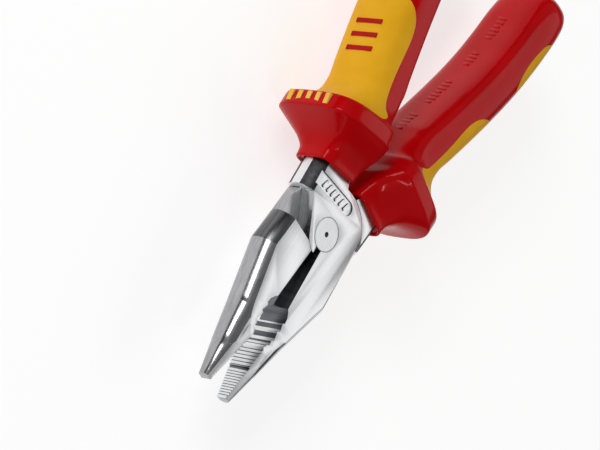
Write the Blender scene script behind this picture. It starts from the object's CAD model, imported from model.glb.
# %% [markdown]
# # Insulated needle-nose combination pliers
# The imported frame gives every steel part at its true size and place. This lesson dresses it: the
# forged halves get crisp bevelled edges, the grips are lofted again with finer sections, and each
# surface gets its own finish. Blender's lengths are metres. Shapes are written in millimetres, and
# MM turns them into metres.

# %% Start from the fixed frame
import bpy
import math
from mathutils import Matrix, Vector


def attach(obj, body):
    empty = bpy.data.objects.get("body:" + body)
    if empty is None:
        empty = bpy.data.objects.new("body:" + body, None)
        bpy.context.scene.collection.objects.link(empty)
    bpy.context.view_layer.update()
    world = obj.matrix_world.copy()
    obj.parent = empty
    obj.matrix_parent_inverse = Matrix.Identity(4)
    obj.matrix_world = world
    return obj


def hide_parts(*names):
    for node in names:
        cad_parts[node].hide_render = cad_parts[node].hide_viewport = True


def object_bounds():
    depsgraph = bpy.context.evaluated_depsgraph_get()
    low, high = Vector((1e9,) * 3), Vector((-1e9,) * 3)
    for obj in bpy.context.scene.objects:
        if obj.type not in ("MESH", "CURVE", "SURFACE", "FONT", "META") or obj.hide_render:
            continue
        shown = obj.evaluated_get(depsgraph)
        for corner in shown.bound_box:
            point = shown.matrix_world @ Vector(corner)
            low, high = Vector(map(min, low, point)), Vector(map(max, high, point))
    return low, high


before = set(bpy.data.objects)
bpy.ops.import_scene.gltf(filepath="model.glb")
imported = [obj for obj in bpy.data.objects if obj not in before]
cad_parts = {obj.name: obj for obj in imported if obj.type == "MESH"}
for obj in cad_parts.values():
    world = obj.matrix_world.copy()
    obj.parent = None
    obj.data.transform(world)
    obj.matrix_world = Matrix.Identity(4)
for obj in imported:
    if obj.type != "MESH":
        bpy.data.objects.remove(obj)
CAD_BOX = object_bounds()
MM = 0.001
HEAD_T = 8.4          # thickness of the head
MID_Z = HEAD_T / 2
HALF_OPEN = 4.2       # each half is turned this far open, in degrees
print(len(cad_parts), "nodes in the frame, CAD box",
      [[round(v, 4) for v in corner] for corner in CAD_BOX])


# %% [markdown]
# ## Camera
# The camera looks down on the front face from the side of the front half's handle, rolled so that
# the tips point down. A long lens keeps the two handles nearly parallel in perspective.

# %% Camera
def add_camera(place, right, up, back, lens):
    data = bpy.data.cameras.new("camera")
    data.lens = lens
    data.sensor_width = 36
    data.clip_start = 0.01
    camera = bpy.data.objects.new("camera", data)
    bpy.context.scene.collection.objects.link(camera)
    turn = Matrix((right, up, back)).transposed().to_4x4()
    camera.matrix_world = Matrix.Translation(place) @ turn
    bpy.context.scene.camera = camera
    print("camera with a", lens, "mm lens,", round(place.length, 3), "m from the pivot")


add_camera(place=Vector((0.439958, 0.297959, 0.482040)),
           right=Vector((-0.46815, -0.49431, 0.73246)),
           up=Vector((0.63751, -0.76292, -0.10740)),
           back=Vector((0.61190, 0.41667, 0.67228)), lens=180)


# %% [markdown]
# ## Writing shader maths as Python
# A material is a small graph. Wrapping a socket in a class lets the graph be written as plain
# expressions, such as `0.3 + 0.1 * grain`, and each expression adds its own Math nodes.

# %% Shader helpers
class Sock:
    """One output socket of a node tree, with arithmetic on numbers."""

    def __init__(self, tree, socket):
        self.tree = tree
        self.socket = socket

    def maths(self, operation, other):
        node = self.tree.nodes.new("ShaderNodeMath")
        node.operation = operation
        feed(self.tree, node.inputs[0], self)
        feed(self.tree, node.inputs[1], other)
        return Sock(self.tree, node.outputs[0])

    def __add__(self, other): return self.maths("ADD", other)
    def __radd__(self, other): return self.maths("ADD", other)
    def __mul__(self, other): return self.maths("MULTIPLY", other)
    def __rmul__(self, other): return self.maths("MULTIPLY", other)

    def step(self, low, high):
        """0 below low, 1 above high, with a soft step between."""
        node = self.tree.nodes.new("ShaderNodeMapRange")
        node.interpolation_type = "SMOOTHSTEP"
        for name, value in (("From Min", low), ("From Max", high), ("To Min", 0.0), ("To Max", 1.0)):
            node.inputs[name].default_value = value
        feed(self.tree, node.inputs["Value"], self)
        return Sock(self.tree, node.outputs["Result"])


def feed(tree, target, value):
    """Links a socket, or sets a constant. A colour of three numbers gets its alpha."""
    if isinstance(value, Sock):
        tree.links.new(value.socket, target)
    elif isinstance(value, tuple) and len(value) == 3 and len(target.default_value) == 4:
        target.default_value = (*value, 1.0)
    else:
        target.default_value = value


class Paint:
    """A material's tree with its Principled shader, and one method that adds any other node."""

    def __init__(self, name, **constants):
        self.material = bpy.data.materials.new(name)
        self.material.use_nodes = True
        self.tree = self.material.node_tree
        self.shader = self.tree.nodes["Principled BSDF"]
        self.set(**constants)

    def set(self, **values):
        for key, value in values.items():
            feed(self.tree, self.shader.inputs[key.replace("_", " ")], value)
        return self.material

    def node(self, kind, output, **inputs):
        node = self.tree.nodes.new(kind)
        for key, value in inputs.items():
            feed(self.tree, node.inputs[key.replace("_", " ")], value)
        return Sock(self.tree, node.outputs[output])

    def noise(self, scale, detail, stretch=(1, 1, 1), rough=0.5):
        here = self.node("ShaderNodeTexCoord", "Object")
        place = self.node("ShaderNodeMapping", "Vector", Vector=here, Scale=stretch)
        return self.node("ShaderNodeTexNoise", "Fac", Vector=place, Scale=scale, Detail=detail,
                         Roughness=rough)

    def mix(self, factor, first, second):
        node = self.tree.nodes.new("ShaderNodeMix")
        node.data_type = "RGBA"
        for i, value in ((0, factor), (6, first), (7, second)):    # the colour sockets of the node
            feed(self.tree, node.inputs[i], value)
        return Sock(self.tree, node.outputs[2])

    def bump(self, height, strength, distance):
        return self.node("ShaderNodeBump", "Normal", Height=height, Strength=strength,
                         Distance=distance)


# %% [markdown]
# ## Steel finishes
# The flats are ground, so they are pale with a fine straight grain. The rounded sides are polished
# and mirror the studio as bands. The coarse steps are cut bright, the cutter and the backs of the
# fine teeth stay dark, and behind the shoulder the forging keeps its dark skin.

# %% Steel
def steel(name, dark, light, rough, grain, relief, stretch):
    """Steel between two tones. Noise stretched along one axis gives it its grain."""
    paint = Paint(name, Metallic=1.0)
    lines = paint.noise(scale=900, detail=4, stretch=stretch, rough=0.65)
    cloud = paint.noise(scale=90, detail=2)
    speck = paint.noise(scale=2600, detail=2)
    tone = (0.6 * lines + 0.4 * cloud).step(0.3, 0.7)
    return paint.set(Base_Color=paint.mix(tone, dark, light),
                     Roughness=rough + grain * lines + 0.06 * cloud,
                     Normal=paint.bump(lines + 0.25 * speck, relief, 0.00002))


GRAIN_ALONG = (1, 0.03, 1)        # scratches that run along the tool
GRAIN_ACROSS = (0.05, 1, 0.05)    # cutter marks that run across it
steel_ground = steel("steel_ground", (0.74, 0.75, 0.76), (0.90, 0.91, 0.92),
                     rough=0.30, grain=0.16, relief=0.5, stretch=GRAIN_ALONG)
steel_polished = steel("steel_polished", (0.33, 0.33, 0.34), (0.46, 0.46, 0.47),
                       rough=0.13, grain=0.08, relief=0.2, stretch=GRAIN_ALONG)
steel_cut = steel("steel_cut", (0.70, 0.71, 0.72), (0.88, 0.89, 0.90),
                  rough=0.22, grain=0.14, relief=0.5, stretch=GRAIN_ACROSS)
steel_blade = steel("steel_blade", (0.09, 0.095, 0.105), (0.19, 0.20, 0.21),
                    rough=0.22, grain=0.12, relief=0.5, stretch=GRAIN_ACROSS)
rivet_face = steel("rivet_face", (0.56, 0.57, 0.58), (0.70, 0.71, 0.72),
                   rough=0.28, grain=0.12, relief=0.4, stretch=(1, 0.25, 1))
steel_skin = steel("steel_skin", (0.09, 0.09, 0.095), (0.19, 0.19, 0.195),
                   rough=0.18, grain=0.12, relief=0.3, stretch=GRAIN_ALONG)
steel_dark = steel("steel_dark", (0.03, 0.03, 0.035), (0.08, 0.08, 0.085),
                   rough=0.4, grain=0.1, relief=0.4, stretch=(1, 1, 1))
FINISHES = (steel_ground, steel_polished, steel_cut, steel_blade, steel_dark, steel_skin)
print("steel:", [finish.name for finish in FINISHES + (rivet_face,)])


# %% [markdown]
# ## Moulded plastics
# The grip shell is a hard, glossy red. The pads are a softer, duller yellow with a very fine moulded
# texture. Both vary a little in tone, as moulded parts do. A low index of refraction and a tinted
# sheen keep a pale studio from washing the colour out.

# %% Plastics
def plastic(name, deep, bright, sheen, rough, coat, texture, relief):
    """Plastic between two tones. The texture is the scale of its moulded grain."""
    paint = Paint(name, Metallic=0.0, Coat_Weight=coat, Coat_Roughness=0.05, IOR=1.2,
                  Specular_Tint=sheen)
    cloud = paint.noise(scale=60, detail=3)
    skin = paint.noise(scale=texture, detail=3, rough=0.6)
    worn = paint.noise(scale=240, detail=4)
    tone = (cloud * 0.8 + worn * 0.2).step(0.25, 0.75)
    return paint.set(Base_Color=paint.mix(tone, deep, bright),
                     Roughness=rough + 0.06 * skin + 0.05 * worn,
                     Normal=paint.bump(skin + 0.15 * worn, relief, 0.00001))


RED_SHEEN = (1.0, 0.16, 0.18)
YELLOW_SHEEN = (1.0, 0.62, 0.15)
grip_red = plastic("grip_red", (0.47, 0.0005, 0.002), (0.55, 0.001, 0.003), RED_SHEEN,
                   rough=0.18, coat=0.14, texture=1700, relief=0.25)
pad_yellow = plastic("pad_yellow", (0.76, 0.37, 0.010), (0.86, 0.46, 0.020), YELLOW_SHEEN,
                     rough=0.42, coat=0.0, texture=2600, relief=0.35)
mark_yellow = plastic("mark_yellow", (0.85, 0.45, 0.05), (0.95, 0.58, 0.10), YELLOW_SHEEN,
                      rough=0.36, coat=0.1, texture=2200, relief=0.2)
emblem_red = plastic("emblem_red", (0.36, 0.006, 0.008), (0.46, 0.010, 0.012), RED_SHEEN,
                     rough=0.38, coat=0.0, texture=2200, relief=0.25)
sleeve_yellow = plastic("sleeve_yellow", (0.78, 0.45, 0.04), (0.88, 0.55, 0.06), YELLOW_SHEEN,
                        rough=0.45, coat=0.0, texture=2400, relief=0.3)
print("plastics:", [paint.name for paint in (grip_red, pad_yellow, mark_yellow, emblem_red,
                                             sleeve_yellow)])


# %% [markdown]
# ## Modelling helpers
# Everything is modelled with the operators that a person would use by hand. The helpers keep one
# object selected at a time, because an operator acts on all that is selected.

# %% Selection, modifiers and placing
MERGE = 0.000002      # corners closer than this become one
GRIP_MERGE = 0.00001  # the same for the grips, where the cuts leave very short edges


def only(piece):
    if bpy.context.object and bpy.context.object.mode != "OBJECT":
        bpy.ops.object.mode_set(mode="OBJECT")
    bpy.ops.object.select_all(action="DESELECT")
    piece.select_set(True)
    bpy.context.view_layer.objects.active = piece


def modify(piece, kind, **settings):
    only(piece)
    modifier = piece.modifiers.new(kind.lower(), kind)
    for key, value in settings.items():
        setattr(modifier, key, value)
    bpy.ops.object.modifier_apply(modifier=modifier.name)


def boolean(piece, operation, other):
    """Cuts or keeps the piece by another one, which is then used up."""
    modify(piece, "BOOLEAN", operation=operation, object=other, solver="EXACT")
    bpy.data.objects.remove(other)


def tidy_mesh(piece, distance=MERGE):
    only(piece)
    bpy.ops.object.mode_set(mode="EDIT")
    bpy.ops.mesh.select_all(action="SELECT")
    bpy.ops.mesh.remove_doubles(threshold=distance)
    bpy.ops.mesh.normals_make_consistent(inside=False)
    bpy.ops.object.mode_set(mode="OBJECT")


def shade_smooth(piece, degrees):
    only(piece)
    bpy.ops.object.shade_smooth_by_angle(angle=math.radians(degrees))


def paint_with(piece, *materials):
    piece.data.materials.clear()
    for material in materials:
        piece.data.materials.append(material)


def copy_of(piece, name):
    twin = piece.copy()
    twin.data = piece.data.copy()
    twin.name = name
    bpy.context.scene.collection.objects.link(twin)
    return twin


# Each half is modelled closed, and these lay it in place. The back half is the front one turned over.
FRONT = Matrix.Rotation(math.radians(HALF_OPEN), 4, "Z")
BACK = (Matrix.Rotation(math.radians(-HALF_OPEN), 4, "Z")
        @ Matrix.Translation((0, 0, HEAD_T * MM)) @ Matrix.Rotation(math.pi, 4, "Y"))


def settle(piece, half):
    """Moves the mesh itself to its half's place, so that the object stays at the origin."""
    piece.data.transform(FRONT if half == "front" else BACK)
    piece.data.update()



# %% [markdown]
# A loft starts as a filled circle. The circle is extruded once for every ring, and then each ring is
# laid on its own section. The same helper makes a prism from two rings.

# %% Rings
def ring_body(name, rings):
    count = len(rings[0])
    bpy.ops.object.select_all(action="DESELECT")
    bpy.ops.mesh.primitive_circle_add(vertices=count, radius=1.0, fill_type="NGON")
    piece = bpy.context.object
    piece.name = name
    bpy.ops.object.mode_set(mode="EDIT")
    for _ in rings[1:]:
        bpy.ops.mesh.extrude_region_move(TRANSFORM_OT_translate={"value": (0, 0, 1)})
    bpy.ops.object.mode_set(mode="OBJECT")
    for vertex in piece.data.vertices:
        level = round(vertex.co.z)
        step = round(math.atan2(vertex.co.y, vertex.co.x) / (2 * math.pi) * count) % count
        vertex.co = Vector(rings[level][step]) * MM
    tidy_mesh(piece)
    return piece


def prism(name, outline, low, high):
    return ring_body(name, [[(p[0], p[1], z) for p in outline] for z in (low, high)])


def curve_through(points, steps):
    """Points on a smooth closed curve through the given points."""
    out = []
    count = len(points)
    for i in range(count):
        p = [points[(i + k - 1) % count] for k in range(4)]
        for j in range(steps):
            t = j / steps
            out.append(0.5 * (2 * p[1] + (p[2] - p[0]) * t
                              + (2 * p[0] - 5 * p[1] + 4 * p[2] - p[3]) * t ** 2
                              + (3 * p[1] - p[0] - 3 * p[2] + p[3]) * t ** 3))
    return out


# %% [markdown]
# ## The forged halves
# The frame's halves have the true shape, but every edge is knife sharp, and real ground steel has a
# thin broken edge that catches the light. A merged copy gets that edge from a narrow bevel. Each
# face then gets its finish from its place and its direction, both taken in the closed tool, where
# +Y runs from the pivot to the tips.

# %% Jaw halves
BROKEN_EDGE = 0.00009             # width of the bevel
FLAT_FACE = 0.97                  # a face is flat when its normal is this close to straight up
CUTTER_Y, STEPS_Y, TEETH_Y = 6.3, 21.7, 32.4      # where each kind of gripping face begins
GRIP_X = 1.5                      # gripping faces lie no further than this past the middle
GRIP_DEPTH, TIP_DEPTH, TIP_Y = 2.8, 0.8, 32.3     # and reach this deep, less deep near the tip
# the dark valleys between the bright ridges, and the lines that divide faces there
DARK_BANDS = ((21.7, 24.3), (24.9, 26.0), (27.4, 28.7), (29.9, 30.4), (31.3, 31.6), (38.3, 39.1))
STEP_LINES = (24.9, 26.0, 27.4, 28.7, 30.4, 31.6)
# where the badge field, the shank and the back of the shoulder lie
BADGE_Y, BADGE_X, BADGE_DEPTH = (-11, -7), 10, 0.4
SHANK_Y, SHANK_X = (-14, -5.1), 8
SHOULDER_Y, SHOULDER_X = (5.0, 13.2), -6
CHAMFER_TILT = 0.3                # the shank's chamfer leans this far up or down
TOOTH_TILT = -0.2                 # and the back of a fine tooth this far to the pivot
NEARLY_FLAT, SHARP = 0.6, 32      # degrees: faces joined below the one, edges broken above the other


def between(value, limits):
    return limits[0] < value < limits[1]


def finish_of(place, normal):
    """The finish of one face, from its middle in millimetres and its direction."""
    if abs(normal.z) > FLAT_FACE:
        return steel_ground
    x, y, z = place
    badge_wall = z > HEAD_T - BADGE_DEPTH and between(y, BADGE_Y) and x < BADGE_X
    shank = between(y, SHANK_Y) and x > SHANK_X
    if badge_wall or (shank and abs(normal.z) > CHAMFER_TILT):
        return steel_dark
    if -(GRIP_DEPTH if y < TIP_Y else TIP_DEPTH) < x < GRIP_X and y > CUTTER_Y:
        valley = any(between(y, band) for band in DARK_BANDS)
        tooth_back = y > TEETH_Y and normal.y < TOOTH_TILT
        return steel_blade if y < STEPS_Y or valley or tooth_back else steel_cut
    if between(y, SHOULDER_Y) and x < SHOULDER_X:
        return steel_skin
    return steel_ground if shank else steel_polished


def forged_half(node, half):
    place_of_half = FRONT if half == "front" else BACK
    piece = copy_of(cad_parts[node], half + "_forging")
    tidy_mesh(piece)
    bpy.ops.object.mode_set(mode="EDIT")
    bpy.ops.mesh.select_all(action="SELECT")
    bpy.ops.mesh.customdata_custom_splitnormals_clear()
    bpy.ops.mesh.dissolve_limited(angle_limit=math.radians(NEARLY_FLAT))
    for y in STEP_LINES:
        bpy.ops.mesh.select_all(action="SELECT")
        bpy.ops.mesh.bisect(plane_co=place_of_half @ Vector((0, y * MM, 0)),
                            plane_no=place_of_half.to_3x3() @ Vector((0, 1, 0)))
    bpy.ops.object.mode_set(mode="OBJECT")
    modify(piece, "BEVEL", width=BROKEN_EDGE, segments=2, limit_method="ANGLE",
           angle_limit=math.radians(SHARP), use_clamp_overlap=True, harden_normals=False)
    paint_with(piece, *FINISHES)
    closed = place_of_half.inverted()
    for face in piece.data.polygons:
        finish = finish_of(closed @ face.center / MM, closed.to_3x3() @ face.normal)
        face.material_index = FINISHES.index(finish)
    shade_smooth(piece, 28)
    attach(piece, half + "_half")
    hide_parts(node)
    print(piece.name, len(piece.data.polygons), "faces")


forged_half("front_jaw_half", "front")
forged_half("back_jaw_half", "back")


# %% [markdown]
# ## Rivet
# The rivet is ground flush with the flats. A fine ring shows where it fills its bore, and a centre
# drill leaves a small dimple at each end.

# %% Pivot rivet
RIVET_SIDES = 96
# radius and height from the flat, from the bottom of the dimple to the rim
RIVET_END = [(0.0, -0.45), (0.32, -0.40), (0.55, -0.12), (0.66, -0.01), (0.80, 0.0), (3.6, 0.0),
             (4.05, 0.0), (4.16, -0.03), (4.22, -0.10), (4.25, -0.20)]
DIMPLE_R, RIM_R = 0.62, 4.13      # inside the one and outside the other the steel is dark


def rivet():
    top = [(r, HEAD_T + z) for r, z in RIVET_END]
    low = [(r, -z) for r, z in reversed(RIVET_END)]
    angles = [2 * math.pi * k / RIVET_SIDES for k in range(RIVET_SIDES)]
    body = ring_body("rivet_body", [[(r * math.cos(a), r * math.sin(a), z) for a in angles]
                                    for r, z in top[1:] + low[:-1]])
    shade_smooth(body, 35)
    paint_with(body, rivet_face, steel_dark)
    for face in body.data.polygons:
        reach = math.hypot(face.center.x, face.center.y) / MM
        face.material_index = 0 if DIMPLE_R <= reach <= RIM_R else 1
    settle(body, "front")
    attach(body, "front_half")
    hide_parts("pivot_rivet")
    print(body.name, len(body.data.polygons), "faces")


rivet()


# %% [markdown]
# ## Grip form
# The grip is one long loft: a square collar round the steel, a concave neck that flares to the hand
# guard, a flat rim band, and a handle with a shallow finger groove on its front and back. Sections
# are given at a few stations and blended without overshoot, so ridges stay crisp.

# %% Grip stations
def spine_x(s):
    """Where the middle of the handle lies, at a distance s behind the pivot."""
    return 9.64 + 0.231 * (s - 39.2) - 0.00135 * (s - 39.2) ** 2 - 0.0025 * max(0, s - 60) ** 2


def spine_turn(s):
    return math.degrees(math.atan(0.231 - 0.0027 * (s - 39.2) - 0.005 * max(0, s - 60)))


def handle(s, wide=0.0, thick=0.0, outer=3.0, inner=4.4, groove=1.0):
    return (spine_x(s), s, spine_turn(s), 6.5 + wide, 9.4 + thick, outer, inner, groove)


# centre x, distance behind the pivot, turn, half width, half thickness,
# squareness of the outer and the inner side, depth of the groove
COLLAR = [
    (7.3, 13.75, 6, 5.9, 4.7, 5, 5, 0), (7.3, 13.30, 6, 6.3, 5.0, 5, 5, 0),
    (7.3, 13.25, 6, 6.6, 5.25, 5, 5, 0), (7.3, 13.6, 6, 6.9, 5.5, 4.6, 5, 0),
    (7.3, 14.6, 6, 6.95, 5.7, 4.2, 5, 0), (7.4, 16.2, 6, 7.0, 6.2, 3.9, 5, 0)]
NECK = [
    (7.75, 17.6, 6.5, 7.4, 7.1, 3.8, 5, 0), (8.3, 18.9, 7, 8.0, 8.25, 3.6, 5, 0),
    (9.3, 20.3, 8, 9.1, 9.8, 3.4, 5, 0), (10.6, 21.5, 8.5, 10.1, 11.2, 3.2, 5.2, 0)]
GUARD = [
    (11.9, 22.45, 9, 11.1, 12.2, 3.1, 5.2, 0), (12.2, 22.7, 9, 11.35, 12.45, 3.1, 5.2, 0),
    (12.3, 23.0, 9, 11.4, 12.5, 3.1, 5.2, 0), (12.35, 26.2, 9, 11.25, 12.35, 3.1, 5.2, 0),
    (12.4, 26.7, 9, 11.1, 12.2, 3.1, 5.2, 0), (12.3, 26.95, 9, 10.8, 11.95, 3.1, 5.0, 0)]
BEHIND_GUARD = [
    (11.7, 27.6, 9.5, 9.9, 11.3, 3.1, 4.6, 0), (10.9, 28.6, 10, 8.9, 10.7, 3.1, 4.2, 0.1),
    (10.1, 30.0, 10.5, 8.0, 10.1, 3.1, 4.0, 0.3), (9.35, 32.0, 11.5, 7.15, 9.7, 3.0, 4.2, 0.7),
    (9.05, 34.0, 12.5, 6.75, 9.5, 3.0, 4.4, 1.0)]
HANDLE = [handle(s, 0.1) for s in (37, 42, 50, 58, 66, 74, 82)]
ROUNDED_END = [
    handle(88, 0.2, 0.1, 2.9, 3.8, 0.6), handle(92, 0.1, 0.0, 2.8, 3.2, 0.2),
    handle(94.6, -0.3, -0.6, 2.6, 2.8, 0), handle(96.2, -1.4, -1.9, 2.5, 2.6, 0),
    handle(97.2, -3.0, -4.0, 2.4, 2.4, 0), handle(97.6, -5.0, -6.9, 2.2, 2.2, 0)]
STATIONS = COLLAR + NECK + GUARD + BEHIND_GUARD + HANDLE + ROUNDED_END
print(len(STATIONS), "stations, the last one", STATIONS[-1][1], "mm behind the pivot")


# %% [markdown]
# The slope at each station is the harmonic mean of the steps before and after it, and nought where
# they differ in sign. That is what keeps the blend from overshooting. A section is a squared-off
# ellipse, with the finger groove pressed into its front and back.

# %% Grip sections
def blended(rows, per_mm):
    """Rows between the given rows, by a cubic that never overshoots."""
    count = len(rows)
    width = len(rows[0])
    slope = []
    for i in range(count):
        if i in (0, count - 1):
            slope.append([0.0] * width)
            continue
        here = []
        for k in range(width):
            left = rows[i][k] - rows[i - 1][k]
            right = rows[i + 1][k] - rows[i][k]
            here.append(0.0 if left * right <= 0 else 2 * left * right / (left + right))
        slope.append(here)
    out = []
    for i in range(count - 1):
        gap = max(abs(rows[i + 1][k] - rows[i][k]) for k in (0, 1, 3, 4))
        steps = max(2, round(gap * per_mm))
        for j in range(steps):
            t = j / steps
            a, b = 2 * t ** 3 - 3 * t ** 2 + 1, t ** 3 - 2 * t ** 2 + t
            c, d = 3 * t ** 2 - 2 * t ** 3, t ** 3 - t ** 2
            out.append([a * rows[i][k] + b * slope[i][k] + c * rows[i + 1][k] + d * slope[i + 1][k]
                        for k in range(width)])
    return out + [list(rows[-1])]


def groove_depth(u):
    """The finger groove at u from the middle, with a slight lip on its inner side."""
    return 0.22 * math.exp(-((u + 2.6) / 1.5) ** 2) - 0.16 * math.exp(-((u + 5.2) / 0.6) ** 2)


def section(row, inset, sides):
    x, s, turn, half_w, half_t, outer, inner, groove = row
    points = []
    for i in range(sides):
        angle = 2 * math.pi * i / sides
        c, n = math.cos(angle), math.sin(angle)
        power = inner if c < 0 else outer
        u = math.copysign(abs(c) ** (2 / power), c) * (half_w - inset)
        w = math.copysign(abs(n) ** (2 / power), n) * (half_t - inset)
        w -= math.copysign(groove * groove_depth(u) * min(1.0, abs(w) / half_t) ** 4, n)
        points.append((x + u * math.cos(math.radians(turn)),
                       -s + u * math.sin(math.radians(turn)), MID_Z + w))
    return points


def grip_form(name, inset=0.0, sides=112, per_mm=1.6):
    return ring_body(name, [section(row, inset, sides) for row in blended(STATIONS, per_mm)])


# %% [markdown]
# ## Shell and pads
# The yellow pads are moulded into pockets of the red shell, flush with it. Each pad is the grip form
# inside its own outline, less the same form shrunk by the pad's depth, and the shell loses a slightly
# larger outline so that a hairline parting shows all round.

# %% Pad outlines
THUMB = [(7.2, -30.3), (8.9, -31.7), (9.7, -33.4), (10.3, -35.8), (10.9, -38.8), (11.4, -42.4),
         (11.8, -46.4), (12.3, -49.8), (13.3, -52.8), (14.8, -54.9), (16.8, -56.5), (19.6, -57.8),
         (25, -58.6), (30, -55), (31, -42), (30, -28), (27, -24.9), (22, -25.6),
         (17.2, -26.45), (12.6, -27.4), (9.0, -28.5)]
PALM = [(18.2, -70), (17.0, -74), (17.0, -80), (18.6, -85.6), (24, -88.2), (33, -84), (33, -73),
        (26, -67.8), (20.4, -67.9)]
PAD_DEPTH = 1.8
PARTING = 0.06        # hairline between a pad and the shell, on the surface
BEDDING = 0.02        # the same gap below the pad
ZONE_LOW, ZONE_HIGH = -20, 30     # an outline's prism passes right through the grip


def grown(outline, by):
    """The outline moved outwards by a little."""
    count = len(outline)
    middle = sum((Vector(p) for p in outline), Vector((0, 0))) / count
    out = []
    for i, p in enumerate(outline):
        along = Vector(outline[(i + 1) % count]) - Vector(outline[i - 1])
        side = Vector((along.y, -along.x)).normalized()
        if side.dot(Vector(p) - middle) < 0:
            side = -side
        out.append(Vector(p) + side * by)
    return out


def zone(name, outline, by=0.0):
    smooth_line = curve_through([Vector(p) for p in outline], steps=7)
    return prism(name, grown(smooth_line, by), ZONE_LOW, ZONE_HIGH)


def core(name, depth):
    """The grip form shrunk by a depth. It stays hidden, so it is coarser."""
    return grip_form(name + "_core", inset=depth, sides=56, per_mm=0.8)


def pad(name, outline):
    piece = grip_form(name)
    boolean(piece, "INTERSECT", zone(name + "_zone", outline))
    boolean(piece, "DIFFERENCE", core(name, PAD_DEPTH))
    return piece


def shell(name):
    piece = grip_form(name)
    for outline in (THUMB, PALM):
        pocket = zone(name + "_pocket", outline, PARTING)
        boolean(pocket, "DIFFERENCE", core(name, PAD_DEPTH + BEDDING))
        boolean(piece, "DIFFERENCE", pocket)
    return piece


print("pads", PAD_DEPTH, "mm deep, parted by", PARTING, "mm")


# %% [markdown]
# One grip is built closed, on the front half's side. A turned-over copy serves the back half.

# %% Build the grips
def dress(piece, material):
    paint_with(piece, material)
    tidy_mesh(piece, GRIP_MERGE)
    shade_smooth(piece, 40)
    return piece


def both_halves(piece, stem):
    """Places the piece on the front half and a turned-over copy on the back half."""
    twin = copy_of(piece, "back_" + stem)
    piece.name = "front_" + stem
    for half, part in (("front", piece), ("back", twin)):
        settle(part, half)
        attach(part, half + "_half")
    print(stem, len(piece.data.polygons), "faces")
    return piece, twin


for stem, node, piece, slot in (
        ("shell_body", "grip_shell", dress(shell("shell_body"), grip_red), "grip_shell"),
        ("thumb_cushion", "thumb_pad", dress(pad("thumb_cushion", THUMB), pad_yellow), "soft_pad"),
        ("palm_cushion", "palm_pad", dress(pad("palm_cushion", PALM), pad_yellow), "soft_pad")):
    for half, part in zip(("front", "back"), both_halves(piece, stem)):
        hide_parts(half + "_" + node)


# %% [markdown]
# The inner flank of each handle carries a long row of small raised marks. Plain slanted ribs in
# groups stand for them. One cube is bevelled, and every rib is a copy of it laid on the flank.

# %% Flank ribs
RIB_SIZE = (0.5, 0.75, 3.0)
RIB_GROUPS = ((37, 5), (49, 7), (66, 4), (77, 6))     # distance behind the pivot, and how many
RIB_PITCH = 1.5
RIB_SLANT = 14        # degrees
RIB_LIFT = 0.6        # the row runs a little above the middle of the flank
FLANK = 6.5           # from the spine to a rib's middle, so that 0.15 mm of it stands out


def flank_rib(first, s, tall):
    rib = copy_of(first, "rib")
    turn = math.radians(spine_turn(s))
    middle = Vector((spine_x(s) - FLANK * math.cos(turn), -s - FLANK * math.sin(turn),
                     MID_Z + RIB_LIFT))
    rib.data.transform(Matrix.Translation(middle * MM) @ Matrix.Rotation(turn, 4, "Z")
                       @ Matrix.Rotation(math.radians(RIB_SLANT), 4, "X")
                       @ Matrix.Diagonal((1, 1, tall, 1)))
    return rib


def flank_ribs():
    bpy.ops.object.select_all(action="DESELECT")
    bpy.ops.mesh.primitive_cube_add(size=1)
    first = bpy.context.object
    first.data.transform(Matrix.Diagonal([side * MM for side in RIB_SIZE] + [1]))
    modify(first, "BEVEL", width=0.00012, segments=2)
    ribs = [flank_rib(first, start + RIB_PITCH * k, 1.0 if k % 3 else 0.72)
            for start, count in RIB_GROUPS for k in range(count)]
    bpy.data.objects.remove(first)
    only(ribs[0])
    for rib in ribs:
        rib.select_set(True)
    bpy.ops.object.join()
    return ribs[0]


both_halves(dress(flank_ribs(), grip_red), "flank_ribs")


# %% [markdown]
# The sleeves and the marks keep the frame's own shapes, because they are small and plain. They only
# need their finishes.

# %% Sleeves and marks
for half in ("front", "back"):
    for node, material in (("inner_sleeve", sleeve_yellow), ("guard_marks", mark_yellow),
                           ("pad_emblem", emblem_red)):
        paint_with(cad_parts[half + "_" + node], material)
        print(half + "_" + node, "in", material.name)


# %% [markdown]
# ## Studio
# Polished steel is only as good as what it mirrors. The room is a pale sky that is dark at the
# horizon and dimmer overhead, which gives round sides their light and dark bands, and the floor is
# pale. A softbox's power follows from its size and its radiance, so its size can change freely.

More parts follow.
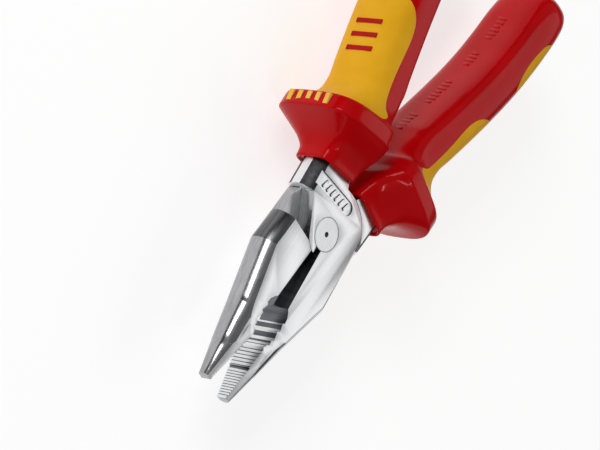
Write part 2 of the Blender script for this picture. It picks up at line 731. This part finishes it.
# %% Room and lights
def add_room(stops):
    world = bpy.data.worlds.new("room")
    world.use_nodes = True
    tree = world.node_tree
    ramp = tree.nodes.new("ShaderNodeValToRGB")
    ramp.color_ramp.interpolation = "EASE"
    marks = ramp.color_ramp.elements              # a new ramp already has two
    for i, (place, value) in enumerate(stops):
        stop = marks[i] if i < 2 else marks.new(place)
        stop.position = place
        stop.color = (value, value, value, 1)
    coords = tree.nodes.new("ShaderNodeTexCoord")
    split = tree.nodes.new("ShaderNodeSeparateXYZ")
    tree.links.new(coords.outputs["Generated"], split.inputs[0])
    half_up = Sock(tree, split.outputs["Z"]) * 0.5 + 0.5
    tree.links.new(half_up.socket, ramp.inputs[0])
    tree.links.new(ramp.outputs[0], tree.nodes["Background"].inputs["Color"])
    bpy.context.scene.world = world


def add_softbox(name, direction, size, radiance, distance=1.2):
    """A rectangle of light that faces the tool."""
    data = bpy.data.lights.new(name, "AREA")
    data.shape = "RECTANGLE"
    data.size, data.size_y = size
    data.energy = radiance * math.pi * size[0] * size[1]
    lamp = bpy.data.objects.new(name, data)
    bpy.context.scene.collection.objects.link(lamp)
    lamp.location = Vector(direction).normalized() * distance
    lamp.rotation_euler = (-lamp.location).to_track_quat("-Z", "Y").to_euler()
    print(name, round(data.energy, 2), "W")


# brightness from straight down (0) over the horizon (0.5) to straight up (1)
add_room([(0.0, 0.3), (0.48, 0.25), (0.52, 0.05), (0.64, 0.06), (0.74, 0.40), (0.88, 0.42),
          (0.94, 0.22), (1.0, 0.22)])
add_softbox("key", (0.87, -0.12, 0.48), size=(0.55, 0.40), radiance=7.2)
add_softbox("back_panel", (-0.61, -0.42, 0.67), size=(0.8, 0.65), radiance=1.1)
add_softbox("tip_strip", (-0.05, 0.62, 0.78), size=(0.45, 0.07), radiance=15.0)


# %% [markdown]
# The floor is plain and pale. It glows a little, so that it stays even away from the lights, and it
# belongs to the stage, not to the tool.

# %% Floor
FLOOR_SIZE = 6
FLOOR_GAP = 0.004     # the floor lies this far below the tool
bpy.ops.object.select_all(action="DESELECT")
bpy.ops.mesh.primitive_plane_add(size=FLOOR_SIZE, location=(0, 0, CAD_BOX[0][2] - FLOOR_GAP))
floor = bpy.context.object
floor.name = "studio_floor"
floor_paint = Paint("floor_white", Base_Color=(0.45, 0.45, 0.45), Roughness=0.9,
                    Specular_IOR_Level=0.0, Emission_Color=(1, 1, 1), Emission_Strength=0.70)
paint_with(floor, floor_paint.material)
bpy.context.scene.view_settings.view_transform = "Standard"
print("floor", FLOOR_GAP, "m below the tool")
